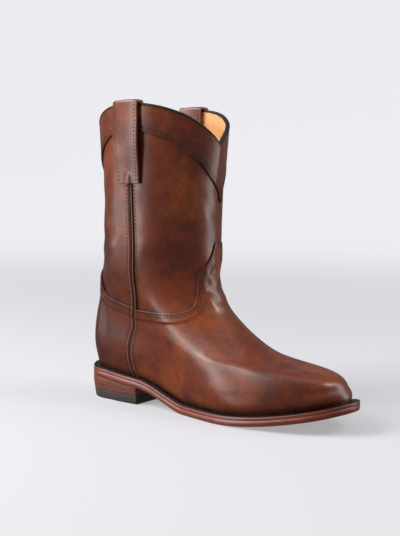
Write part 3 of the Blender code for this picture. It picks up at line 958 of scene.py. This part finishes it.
def ring_section(v, width, height):
    """Offsets across and outwards, once round a soft rectangle that stands on 0."""
    angle = 2 * np.pi * v
    across = np.sign(np.cos(angle)) * np.abs(np.cos(angle)) ** SECTION_ROUNDNESS * width / 2
    out = (1 + np.sign(np.sin(angle)) * np.abs(np.sin(angle)) ** SECTION_ROUNDNESS) * height / 2
    return across, out


def add_seam_strip(name, inner_side, offset, size, base, materials, replaces=()):
    """A closed strip that runs up a side seam at an offset, ending under the pull strap."""
    top = level_below_collar(STRAP_DROP - STRIP_LAP)

    def place(u, v):
        across, out = ring_section(v, *size)
        taper = np.minimum(1, np.minimum(u, 1 - u) * TIP_SLOPE + TIP_LEFT)
        level = STRIP_START + (top - STRIP_START) * u
        turn = beside_seam(level, offset + across * taper)
        return skin(1 - turn if inner_side else turn, level, base + out * taper)

    return add_piece(name, 320, 16, place, materials, replaces)


for side, inner in SIDES:
    add_seam_strip(
        "piping_cord_" + side, inner, 0.0, CORD_SIZE, UPPER_FACE + HAIR,
        [BLACK_EDGE], ["piping_" + side],
    )
    for place_name, offset in SEAM_EDGES:
        add_seam_strip(
            "seam_edge_" + place_name + "_" + side, inner, offset, SEAM_EDGE_SIZE, UPPER_FACE - HAIR,
            [RAW_EDGE],
        )


def bead_place(u, v):
    width = OVERLAY_FACE - LINING_FACE + BEAD_OVERHANG
    across, out = ring_section(v, width, BEAD_LAP + GAP + BINDING_HEIGHT)
    points = skin(column_turn(u), 1.0, (LINING_FACE + OVERLAY_FACE) / 2 + across)
    points[:, 2] += out - BEAD_LAP
    return points


add_piece("collar_bead", 360, 16, bead_place, [BLACK_EDGE], ["collar_binding"])

# %% [markdown]
# ## Pull straps
# A strap is one strip of leather, stitched low on the outside, standing off the shaft as a loop, folded
# over the collar and stitched inside. Its middle line is a path of height and distance from the form.
# The dressed strap bows out less than the plain solid and narrows a little towards its lower end, where
# the piping's end lifts it.

# %% Straps
OUTER_END, INNER_START = 0.46, 0.62
STRAP_SEWN = 0.10
BOW_SHARE = 0.34
STRAP_LOW_SHARE, STRAP_WIDENS = 0.87, 0.4
BUMP_WIDTH, BUMP_HEIGHT = 0.0042, 0.0010
BUMP_END, BUMP_FADE = 0.035, 0.05
STRAP_ROUNDING = 0.0005
STRAP_END_SHADE, STRAP_EDGE_SHADE = Shade(0.35, 0.05), Shade(0.25, 0.0015)
STRAP_EDGE_WARMTH = Shade(0.5, 0.0012)


def strap_path(along):
    """Level, distance out from the form and height over the collar, along the strap's outer face."""
    bottom, inner_bottom = level_below_collar(STRAP_DROP), level_below_collar(STRAP_INNER_DROP)
    middle = (OVERLAY_FACE + LINING_FACE) / 2
    half = (OVERLAY_FACE - LINING_FACE) / 2 + STRAP_CLEARANCE
    rise = BINDING_HEIGHT + 3 * GAP
    up = np.clip(along / OUTER_END, 0, 1)
    free = smoothstep((up - STRAP_SEWN) / (1 - STRAP_SEWN))
    bow = BOW_SHARE * STRAP_BOW * np.sin(np.pi * free)
    slack = (STRAP_CLEARANCE - GAP) * (1 - up)
    outer_out = middle + half - slack + bow + STRAP_THICKNESS
    angle = np.pi * np.clip((along - OUTER_END) / (INNER_START - OUTER_END), 0, 1)
    fold_out = middle + (half + STRAP_THICKNESS) * np.sign(np.cos(angle)) * np.sqrt(np.abs(np.cos(angle)))
    over = (rise + STRAP_THICKNESS) * np.sqrt(np.abs(np.sin(angle)))
    down = np.clip((along - INNER_START) / (1 - INNER_START), 0, 1)
    inner_out = middle - half + (STRAP_CLEARANCE - GAP) * down - STRAP_THICKNESS
    outside, inside = along <= OUTER_END, along >= INNER_START
    level = np.where(inside, 1 - (1 - inner_bottom) * down, 1)
    level = np.where(outside, bottom + (1 - bottom) * up, level)
    out = np.where(outside, outer_out, np.where(inside, inner_out, fold_out))
    return level, out, np.where(outside | inside, 0.0, over)


def strap_points(along, across, inner_side):
    """Points of the strap's face at a share along it and a distance from its middle."""
    level, out, over = strap_path(along)
    width = STRAP_LOW_SHARE + (1 - STRAP_LOW_SHARE) * smoothstep(along / STRAP_WIDENS)
    turn = beside_seam(level, across * width)
    turn = 1 - turn if inner_side else turn
    low = 1 - smoothstep((along - BUMP_END) / BUMP_FADE)
    bump = np.exp(-(across / BUMP_WIDTH) ** 4) * low * BUMP_HEIGHT
    points = form(turn, level, out + bump)
    points[:, 2] += over
    return points


def add_strap(side, inner_side):
    def place(u, v):
        return strap_points(v, STRAP_WIDTH * (u - 0.5), inner_side)

    def tones(u, v, points):
        edge = np.minimum(u, 1 - u) * STRAP_WIDTH
        # Painted shade towards the strap's lower end and along its edges, with warmer raw edges.
        burnish = falling(STRAP_END_SHADE, v) + falling(STRAP_EDGE_SHADE, edge)
        return {"burnish": burnish, "warm": falling(STRAP_EDGE_WARMTH, edge)}

    piece = add_piece(
        "strap_" + side, 28, 150, place, [STRAP_LEATHER, RAW_EDGE],
        ["pull_strap_" + side], closed=False, tones=tones,
    )
    start = strap_points(np.array([0.3]), np.array([0.0]), inner_side)[0]
    face_outward(piece, start, (0, 1 if inner_side else -1, 0))
    give_wall(piece, STRAP_THICKNESS, STRAP_ROUNDING)


for side, inner in SIDES:
    add_strap(side, inner)

# %% [markdown]
# ## Sole, welt and heel
# These follow the outline of the feather line, moved out by the welt's margin. Each is a stack of rings:
# a row says how far in from the edge a ring lies and how high, and the first and last rings close at the
# centre line.

# %% Rings of the sole
Ring = namedtuple("Ring", "share margin height")
SOLE_COLUMNS = 320


def sole_ring_points(turn, share, margin, height):
    """Points at a share of the way from the centre line to the outline, over the outsole's underside."""
    level = np.zeros_like(turn)
    edge, other = form(turn, level, margin), form(1 - turn, level, margin)
    middle = (edge + other) / 2
    points = middle + (edge - middle) * share[:, None]
    points[:, 2] = sole_under(points[:, 0]) + height
    return points


def add_sole_piece(name, rings, materials, replaces, pick=None, loop=False):
    table = np.array(rings + ([rings[0]] if loop else []))

    def place(u, v):
        rows = v * (len(table) - 1)
        share, margin, height = (np.interp(rows, range(len(table)), column) for column in table.T)
        return sole_ring_points(column_turn(u), share, margin, height)

    chosen = (lambda u, v: pick(v * (len(table) - 1))) if pick else None
    return add_piece(name, SOLE_COLUMNS, len(table) - 1, place, materials, replaces, pick=chosen)


edge = WELT_MARGIN
thick = OUTSOLE_THICKNESS
OUTSOLE_RINGS = [
    Ring(0.0, edge, 0.0), Ring(0.35, edge, 0.0), Ring(0.7, edge, 0.0), Ring(0.9, edge, 0.0),
    Ring(1.0, edge - 0.0012, 0.0), Ring(1.0, edge - 0.0006, 0.00015), Ring(1.0, edge - 0.0002, 0.0005),
    Ring(1.0, edge, 0.0011), Ring(1.0, edge, thick * 0.5), Ring(1.0, edge, thick),
    Ring(0.9, edge, thick), Ring(0.5, edge, thick), Ring(0.0, edge, thick),
]
add_sole_piece(
    "outsole_leather", OUTSOLE_RINGS, [SOLE_EDGE, SOLE_LOWER, SOLE_GRAIN], ["outsole"],
    pick=lambda row: np.where(row < 4, 2, np.where(row < 7, 1, 0)),
)
low, high = WELT_BASE, WELT_BASE + WELT_THICKNESS
WELT_RINGS = [
    Ring(1.0, -WELT_LEDGE, low - GAP), Ring(1.0, edge, low - GAP), Ring(1.0, edge, low),
    Ring(1.0, edge, (low + high) / 2), Ring(1.0, edge - 0.0001, high - 0.0007),
    Ring(1.0, edge - 0.0005, high - 0.0002), Ring(1.0, edge - 0.0010, high),
    Ring(1.0, edge - 0.0019, high), Ring(1.0, edge - 0.0022, high - 0.0004),
    Ring(1.0, edge - 0.0029, high - 0.0004), Ring(1.0, edge - 0.0032, high),
    Ring(1.0, 0.0, high), Ring(1.0, -WELT_LEDGE, high),
]
# The welt's top gets the darker finish, which holds painted shade.
add_sole_piece(
    "welt_strip", WELT_RINGS, [SOLE_EDGE, DARK_WELT_AND_SHADE], ["welt"],
    pick=lambda row: np.where(row > 5.5, 1, 0), loop=True,
)
low, high = WELT_BASE, WELT_BASE + INSOLE_THICKNESS
SOCK_RINGS = [
    Ring(0.0, -INSOLE_MARGIN, low), Ring(0.6, -INSOLE_MARGIN, low), Ring(1.0, -INSOLE_MARGIN, low),
    Ring(1.0, -INSOLE_MARGIN, high - 0.0015), Ring(1.0, -INSOLE_MARGIN - 0.0004, high - 0.0004),
    Ring(1.0, -INSOLE_MARGIN - 0.0014, high), Ring(0.8, -INSOLE_MARGIN, high - 0.0004),
    Ring(0.5, -INSOLE_MARGIN, high - 0.0008), Ring(0.0, -INSOLE_MARGIN, high - 0.0010),
]
add_sole_piece("sock_lining", SOCK_RINGS, [SOCK], ["insole"])

# %% [markdown]
# ## The stacked heel
# Lifts of sole leather, pegged and glued, then trimmed in one go and stained. The joints still show as
# fine lines. The outline is the sole's back with a straight breast across it.


# %% Heel lifts and the rubber lift
def breast_turn():
    """The turn at which the outsole's outline crosses the heel's breast."""
    turns = np.linspace(0.05, 0.4, 1501)
    return float(np.interp(HEEL_BREAST, form(turns, 0.0, WELT_MARGIN)[:, 0], turns))


BREAST_TURN = breast_turn()
BREAST_SHARE = 0.8


def heel_outline(u):
    """Once round the heel: from the breast's outer corner by the back to the inner one, then across."""
    round_turn = BREAST_TURN * (1 - 2 * np.minimum(u / BREAST_SHARE, 1))
    points = form(round_turn, 0.0, WELT_MARGIN)
    corners = form(np.array([-BREAST_TURN, BREAST_TURN]), 0.0, WELT_MARGIN)
    across = np.clip((u - BREAST_SHARE) / (1 - BREAST_SHARE), 0, 1)[:, None]
    return np.where(across > 0, corners[0] + (corners[1] - corners[0]) * across, points)


def add_heel_piece(name, bottom, top, rows, materials, replaces, pick=None):
    """rows: (share from the middle to the edge, inset, share of the height)."""
    table = np.array(rows)

    def place(u, v):
        at = v * (len(table) - 1)
        share, inset, climb = (np.interp(at, range(len(table)), column) for column in table.T)
        points = heel_outline(u)
        points[:, :2] *= share[:, None]
        outward = points[:, :2] / np.maximum(np.linalg.norm(points[:, :2], axis=1), 1e-6)[:, None]
        points[:, :2] -= outward * inset[:, None]
        ceiling = sole_under(points[:, 0]) - 2 * GAP if top is None else top
        height = bottom + (ceiling - bottom) * climb
        inward = HEEL_TAPER * np.maximum(0.0, 1 - height / HEEL_BREAST_HEIGHT)
        points[:, 0] += inward * (1 - (points[:, 0] - SOLE_BACK) / HEEL_LENGTH)
        points[:, 1] *= 1 - inward / HEEL_HALF_WIDTH
        points[:, 2] = height
        return points

    chosen = (lambda u, v: pick(v * (len(table) - 1))) if pick else None
    return add_piece(name, 160, len(table) - 1, place, materials, replaces, pick=chosen)


HEEL_LIFTS = 3
JOINT_DEPTH, JOINT_SHOULDER = 0.00014, 0.00004
SHOULDER_RISE, FACE_RISE = 0.015, 0.05
HEEL_ROWS = [(0.0, 0.0, 0.0), (0.6, 0.0, 0.0), (1.0, 0.0002, 0.0)]
for lift in range(HEEL_LIFTS):
    start, end = lift / HEEL_LIFTS, (lift + 1) / HEEL_LIFTS
    HEEL_ROWS += [
        (1.0, JOINT_SHOULDER, start + SHOULDER_RISE), (1.0, 0.0, start + FACE_RISE),
        (1.0, 0.0, end - FACE_RISE), (1.0, JOINT_SHOULDER, end - SHOULDER_RISE),
        (1.0, JOINT_DEPTH, end),
    ]
HEEL_ROWS += [(0.6, 0.0, 1.0), (0.0, 0.0, 1.0)]
add_heel_piece(
    "heel_lifts", TOP_LIFT_THICKNESS + GAP, None, HEEL_ROWS, [HEEL_EDGE], ["heel_stack"]
)
LIFT_ROWS = [
    (0.0, 0.0, 0.0), (0.6, 0.0, 0.0), (1.0, 0.0008, 0.0), (1.0, 0.0002, 0.04), (1.0, 0.0, 0.12),
    (1.0, 0.0, 0.9), (1.0, 0.0002, 0.98), (1.0, 0.0004, 1.0), (0.6, 0.0, 1.0), (0.0, 0.0, 1.0),
]
add_heel_piece(
    "rubber_lift", 0.0, TOP_LIFT_THICKNESS, LIFT_ROWS, [LIFT_RUBBER], ["top_lift"]
)

# %% [markdown]
# ## Stitches
# A lockstitch dips into the leather at both ends, so each visible stitch is a small grain of rice. They
# are laid along paths on the skin. Real thread is about 0.6 mm thick, at eight or nine stitches to the
# inch, which is too fine for the render, so these are drawn thicker and a little further apart.


# %% Stitching machine
Stitch = namedtuple("Stitch", "pitch length radius")
PANEL_STITCH = Stitch(0.0035, 0.0019, 0.00065)
SEAM_STITCH = Stitch(0.0036, 0.0018, 0.00075)
STRAP_STITCH = Stitch(0.0035, 0.0018, 0.00065)
WELT_STITCH = Stitch(0.0036, 0.0028, 0.00045)
STITCH_RISE = 0.6
ROW_INSETS = (0.0019, 0.0044)


def walk(turn, level, distance):
    """Addresses moved sideways from a path, to its left as it runs, by a distance on the surface."""
    here = form_points(turn, level)
    along = np.gradient(here, axis=0)
    side = np.cross(form_normals(turn, level), along)
    side *= distance / np.linalg.norm(side, axis=1)[:, None]
    step = ADDRESS_STEP
    per_turn = (form_points(turn + step, level) - form_points(turn - step, level)) / (2 * step)
    per_level = (form_points(turn, level + step) - form_points(turn, level - step)) / (2 * step)
    a = (per_turn * per_turn).sum(1)
    b = (per_turn * per_level).sum(1)
    c = (per_level * per_level).sum(1)
    p, q = (side * per_turn).sum(1), (side * per_level).sum(1)
    det = a * c - b * b
    return turn + (c * p - b * q) / det, level + (a * q - b * p) / det


def even_steps(points, pitch):
    """Where along a path evenly spaced stitches have their middles, as indices with fractions."""
    length = np.concatenate(([0], np.cumsum(np.linalg.norm(np.diff(points, axis=0), axis=1))))
    count = max(2, int(length[-1] / pitch))
    return np.interp((np.arange(count) + 0.5) * length[-1] / count, length, range(len(points)))


def read_at(places, values):
    """Rows of values read between their indices."""
    index = range(len(values))
    return np.stack([np.interp(places, index, values[:, k]) for k in range(3)], 1)


def lay_stitches(mesh, points, normals, stitch):
    """Add one stitch after another along a path of points."""
    places = even_steps(points, stitch.pitch)
    runs = read_at(places + 0.5, points) - read_at(places - 0.5, points)
    for centre, run, normal in zip(read_at(places, points), runs, read_at(places, normals)):
        forward = Vector(run).normalized()
        rise = Vector(normal)
        rise = (rise - rise.project(forward)).normalized()
        across = rise.cross(forward)
        axes = (forward * stitch.length / 2, across * stitch.radius, rise * stitch.radius * STITCH_RISE)
        turn_matrix = Matrix(axes).transposed().to_4x4()
        turn_matrix.translation = Vector(centre)
        bmesh.ops.create_icosphere(mesh, subdivisions=1, radius=1.0, matrix=turn_matrix)


def add_panel_stitching(name, *edges):
    """Two rows inside each panel's edge, to the left of its line where side is 1 and to the right at -1."""
    mesh = bmesh.new()
    for edge, reach, side in edges:
        line = edge_path(edge, reach)
        for inset in ROW_INSETS:
            turn, level = walk(*line, side * inset)
            points = skin(turn, level, OVERLAY_FACE + HAIR)
            lay_stitches(mesh, points, form_normals(turn, level), PANEL_STITCH)
    finish_piece(mesh, name, [THREAD])


add_panel_stitching("vamp_stitches", (VAMP_TOP, round_front, -1))
add_panel_stitching("counter_stitches", (COUNTER_TOP, round_back, 1))
add_panel_stitching("collar_stitches", (FRONT_ARCH, round_front, 1), (BACK_ARCH, round_back, -1))

# %% [markdown]
# ## Rows beside the piping, the straps and on the welt
# The side seam has a row on each side of the piping. Where a panel lies over the seam the row climbs on
# to it, so its height follows the panel that it crosses. The welt's row lies in a groove.

# %% Seam, strap and welt stitches
SEAM_ROW_OFFSET = 0.0056
SEAM_ROW_START, SEAM_ROW_LAP = 0.012, 0.006
STRAP_ROW_INSET, STRAP_ROW_END = 0.0026, 0.015
SIDE_STEP = 0.002
PROBE = 20
WELT_ROW_INSET, WELT_ROW_SINK = 0.00255, 0.0002


def seam_rows(offset):
    """Addresses of a row beside each side seam, from the sole to the strap."""
    level = np.linspace(SEAM_ROW_START, level_below_collar(STRAP_DROP - SEAM_ROW_LAP), 260)
    turn = beside_seam(level, offset)
    return [(turn, level), (1 - turn, level)]


def seam_row_out(level, ahead):
    top = (VAMP_TOP[0, 1] if ahead else COUNTER_TOP[0, 1]) / (SECTIONS - 1)
    return np.where(level < top, OVERLAY_FACE, UPPER_FACE) + HAIR


def add_seam_stitching():
    mesh = bmesh.new()
    for offset in (SEAM_ROW_OFFSET, -SEAM_ROW_OFFSET):
        for turn, level in seam_rows(offset):
            points = skin(turn, level, seam_row_out(level, offset > 0))
            lay_stitches(mesh, points, form_normals(turn, level), SEAM_STITCH)
    finish_piece(mesh, "seam_stitches", [THREAD])


def add_strap_stitching():
    mesh = bmesh.new()
    along = np.linspace(STRAP_ROW_END, 1 - STRAP_ROW_END, 220)
    for inner_side in (False, True):
        for offset in (-STRAP_WIDTH / 2 + STRAP_ROW_INSET, STRAP_WIDTH / 2 - STRAP_ROW_INSET):
            points = strap_points(along, np.full_like(along, offset), inner_side)
            tangent = np.gradient(points, axis=0)
            sideways = strap_points(along, np.full_like(along, offset + SIDE_STEP), inner_side) - points
            normal = np.cross(tangent, sideways)
            level = strap_path(along)[0]
            outward = form_normals(beside_seam(level, offset), level)
            if inner_side:
                outward[:, 1] *= -1
            if (normal[PROBE] @ outward[PROBE]) < 0:
                normal = -normal
            normal /= np.linalg.norm(normal, axis=1)[:, None]
            lay_stitches(mesh, points + normal * HAIR, normal, STRAP_STITCH)
    finish_piece(mesh, "strap_stitches", [THREAD])


def add_welt_stitching():
    mesh = bmesh.new()
    turn = column_turn(np.linspace(0, 1, 700))
    points = sole_ring_points(
        turn, np.ones_like(turn), np.full_like(turn, WELT_MARGIN - WELT_ROW_INSET),
        np.full_like(turn, WELT_BASE + WELT_THICKNESS - WELT_ROW_SINK),
    )
    normals = np.tile((0.0, 0.0, 1.0), (len(turn), 1))
    lay_stitches(mesh, points, normals, WELT_STITCH)
    finish_piece(mesh, "welt_stitches", [THREAD])


add_seam_stitching()
add_strap_stitching()
add_welt_stitching()

# %% [markdown]
# ## Floor, light and camera
# A product shot has a seamless sweep: the floor curves up so that no horizon shows. Here the sweep is a
# wide bowl, spun from one profile, so it is seamless from every side.

# %% The sweep
SWEEP_FLAT, SWEEP_BEND, SWEEP_WALL = 2.2, 1.4, 2.6
GLOW_START, GLOW_END = 0.2, 2.6
GLOW_NEAR, GLOW_FAR = 0.36, 0.76


def add_sweep():
    mesh = bmesh.new()
    profile = [mesh.verts.new((radius, 0, 0)) for radius in (0.0, SWEEP_FLAT * 0.5, SWEEP_FLAT)]
    for step in range(1, 13):
        angle = math.pi / 2 * step / 12
        profile.append(mesh.verts.new((
            SWEEP_FLAT + SWEEP_BEND * math.sin(angle), 0, SWEEP_BEND * (1 - math.cos(angle)),
        )))
    profile.append(mesh.verts.new((SWEEP_FLAT + SWEEP_BEND, 0, SWEEP_BEND + SWEEP_WALL)))
    edges = [mesh.edges.new(pair) for pair in zip(profile, profile[1:])]
    bmesh.ops.spin(
        mesh, geom=profile + edges, axis=(0, 0, 1), cent=(0, 0, 0), dvec=(0, 0, 0),
        angle=2 * math.pi, steps=96, use_merge=True, use_duplicate=False,
    )
    bmesh.ops.remove_doubles(mesh, verts=mesh.verts, dist=0.0001)
    bmesh.ops.recalc_face_normals(mesh, faces=mesh.faces)
    for face in mesh.faces:
        face.smooth = True
    data = bpy.data.meshes.new("studio_sweep")
    mesh.to_mesh(data)
    mesh.free()
    surface, tree = new_material("pale backlit sweep")
    place = add_node(tree, "ShaderNodeTexCoord").outputs["Object"]
    distance = add_node(tree, "ShaderNodeVectorMath", {0: place}, operation="LENGTH")
    glow = add_node(
        tree, "ShaderNodeMapRange",
        {
            "Value": distance.outputs["Value"], "From Min": GLOW_START, "From Max": GLOW_END,
            "To Min": GLOW_NEAR, "To Max": GLOW_FAR,
        },
        interpolation_type="SMOOTHSTEP",
    )
    shader = add_node(
        tree, "ShaderNodeBsdfPrincipled",
        {
            "Base Color": light_of("#a9a9ad"), "Roughness": 0.9, "Specular IOR Level": 0.1,
            "Emission Color": light_of("#fbfbff"), "Emission Strength": glow.outputs["Result"],
        },
    )
    close_material(tree, shader)
    data.materials.append(surface)
    sweep = bpy.data.objects.new("studio_sweep", data)
    sweep.visible_glossy = False
    sweep.visible_diffuse = False
    bpy.context.scene.collection.objects.link(sweep)


add_sweep()

# %% [markdown]
# Softboxes give the leather its broad, soft reflections. On the heel's side stand a tall narrow one, a
# broad one high up and a weak one near the floor, which skims the side of the vamp. A small one hangs
# over the toe, a tall one stands beyond the boot, and a broad weak one hangs overhead. The pale world
# fills the shadows.

# %% Lights
MIDDLE = Vector((0.09, 0.0, 0.13))
VAMP_SIDE = Vector((0.12, -0.04, 0.04))
WORLD_LIGHT = 0.20
Softbox = namedtuple("Softbox", "name place aim size power")
SOFTBOXES = (
    Softbox("softbox_left", (-0.52, -1.15, 0.45), MIDDLE, (0.35, 1.3), 9),
    Softbox("softbox_high", (-0.72, -0.72, 1.12), MIDDLE, (0.9, 0.8), 20),
    Softbox("softbox_low", (-0.76, -0.62, 0.13), VAMP_SIDE, (0.5, 0.22), 1.2),
    Softbox("softbox_toe", (1.03, 0.30, 1.12), MIDDLE, (0.30, 0.30), 4),
    Softbox("softbox_right", (1.09, 0.84, 0.50), MIDDLE, (0.5, 1.4), 7),
    Softbox("softbox_top", (0.1, 0.0, 2.0), MIDDLE, (1.4, 1.4), 4),
)


def add_softbox(name, place, aim, size, power):
    lamp = bpy.data.lights.new(name, "AREA")
    lamp.shape = "RECTANGLE"
    lamp.size, lamp.size_y = size
    lamp.energy = power
    box = bpy.data.objects.new(name, lamp)
    box.location = place
    box.rotation_euler = (Vector(aim) - Vector(place)).to_track_quat("-Z", "Y").to_euler()
    box.visible_camera = False
    bpy.context.scene.collection.objects.link(box)


for softbox in SOFTBOXES:
    add_softbox(*softbox)
world = bpy.data.worlds.new("pale studio")
world.use_nodes = True
world.node_tree.nodes["Background"].inputs["Color"].default_value = light_of("#ececee")
world.node_tree.nodes["Background"].inputs["Strength"].default_value = WORLD_LIGHT
bpy.context.scene.world = world
bpy.context.scene.view_settings.view_transform = "Standard"

# %% [markdown]
# The camera stands where the photographer stood, worked out from landmarks of the boot. Only its aim and
# its lens differ, so the boot fills the frame with the same perspective.

# %% Camera
CAMERA_PLACE = Vector((0.66089, -0.79153, 0.22523))
CAMERA_AIM = Vector((0.0900, 0.0, 0.1400))
CAMERA_ROLL = math.radians(0.8)
CAMERA_LENS = 66.0

lens = bpy.data.cameras.new("camera")
lens.sensor_width = 36.0
lens.lens = CAMERA_LENS
camera = bpy.data.objects.new("camera", lens)
bpy.context.scene.collection.objects.link(camera)
looking = (CAMERA_AIM - CAMERA_PLACE).to_track_quat("-Z", "Y").to_matrix()
camera.matrix_world = (
    Matrix.Translation(CAMERA_PLACE) @ (looking @ Matrix.Rotation(CAMERA_ROLL, 3, "Z")).to_4x4()
)
bpy.context.scene.camera = camera
